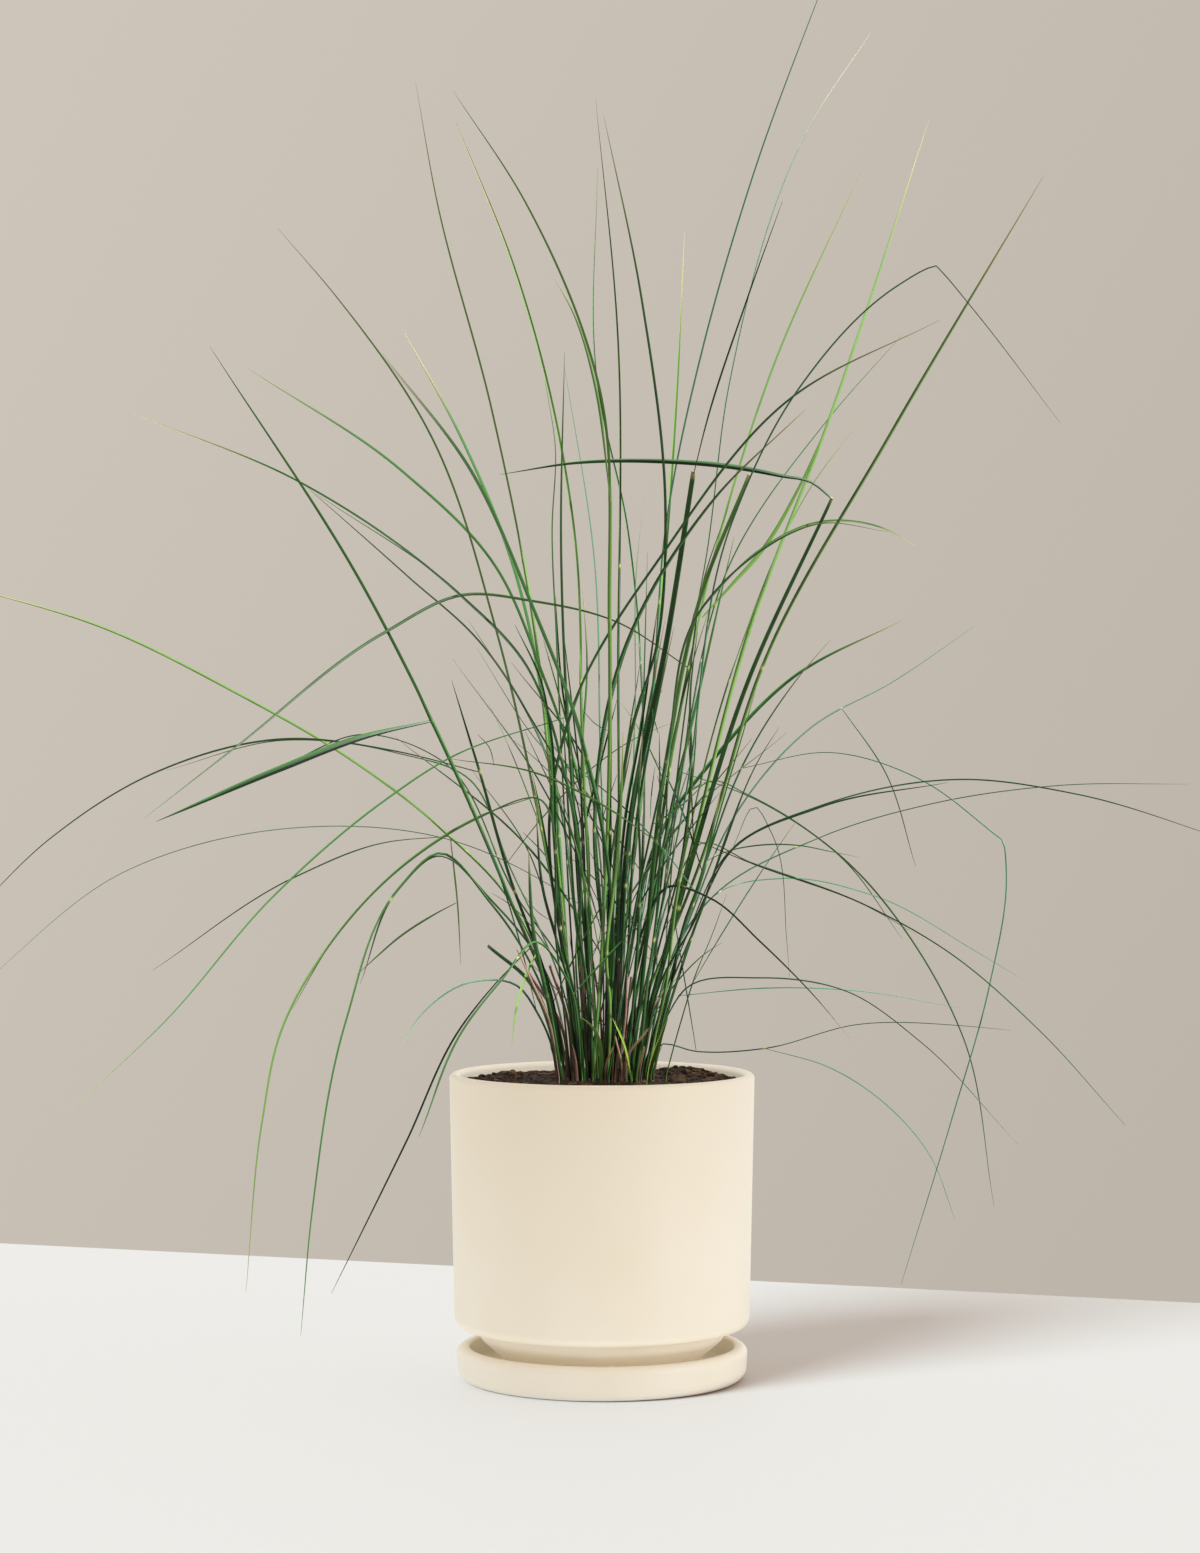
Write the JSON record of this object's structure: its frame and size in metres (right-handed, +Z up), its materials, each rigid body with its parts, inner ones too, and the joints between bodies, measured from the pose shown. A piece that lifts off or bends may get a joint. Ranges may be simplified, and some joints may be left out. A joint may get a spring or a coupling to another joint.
{
  "type": "potted ornamental grass",
  "caption": "Clump of fine arching muhly grass shoots growing in a round cream ceramic planter that stands in its saucer.",
  "frame": {"origin": "middle of the saucer's flat underside, where the whole plant stands", "axes": "+Z up along the pot's axis; -Y towards the viewer of the picture, +X to the viewer's right"},
  "size_m": [0.8637, 0.6904, 0.9597],
  "materials": {
    "glaze": "satin",
    "soil": "matte",
    "crown": "matte",
    "grass_deep": "satin",
    "grass_mid": "satin",
    "grass_light": "satin",
    "grass_blue": "satin"
  },
  "bodies": {
    "root": {"pot": "glaze", "saucer": "glaze", "soil": "soil", "crown": "crown", "shoot_01": "grass_blue", "shoot_02": "grass_blue", "shoot_03": "grass_blue", "shoot_04": "grass_deep", "shoot_05": "grass_mid", "shoot_06": "grass_deep", "shoot_07": "grass_blue", "shoot_08": "grass_deep", "shoot_09": "grass_mid", "shoot_10": "grass_mid", "shoot_11": "grass_deep", "shoot_12": "grass_blue", "shoot_13": "grass_deep", "shoot_14": "grass_deep", "shoot_15": "grass_blue", "shoot_16": "grass_mid", "shoot_17": "grass_mid", "shoot_18": "grass_mid", "shoot_19": "grass_blue", "shoot_20": "grass_blue", "shoot_21": "grass_deep", "shoot_22": "grass_mid", "shoot_23": "grass_light", "shoot_24": "grass_mid", "shoot_25": "grass_mid", "shoot_26": "grass_deep", "shoot_27": "grass_mid", "shoot_28": "grass_mid", "shoot_29": "grass_light", "shoot_30": "grass_deep", "shoot_31": "grass_mid", "shoot_32": "grass_mid", "shoot_33": "grass_mid", "shoot_34": "grass_mid", "shoot_35": "grass_blue", "shoot_36": "grass_mid", "shoot_37": "grass_mid", "shoot_38": "grass_mid", "shoot_39": "grass_mid", "shoot_40": "grass_mid", "shoot_41": "grass_mid", "shoot_42": "grass_mid", "shoot_43": "grass_blue", "shoot_44": "grass_light", "shoot_45": "grass_light", "shoot_46": "grass_light", "shoot_47": "grass_light", "shoot_48": "grass_mid", "shoot_49": "grass_light", "shoot_50": "grass_light", "shoot_51": "grass_deep", "shoot_52": "grass_light", "shoot_53": "grass_light", "shoot_54": "grass_light", "shoot_55": "grass_blue", "shoot_56": "grass_blue"}
  },
  "joints": []
}
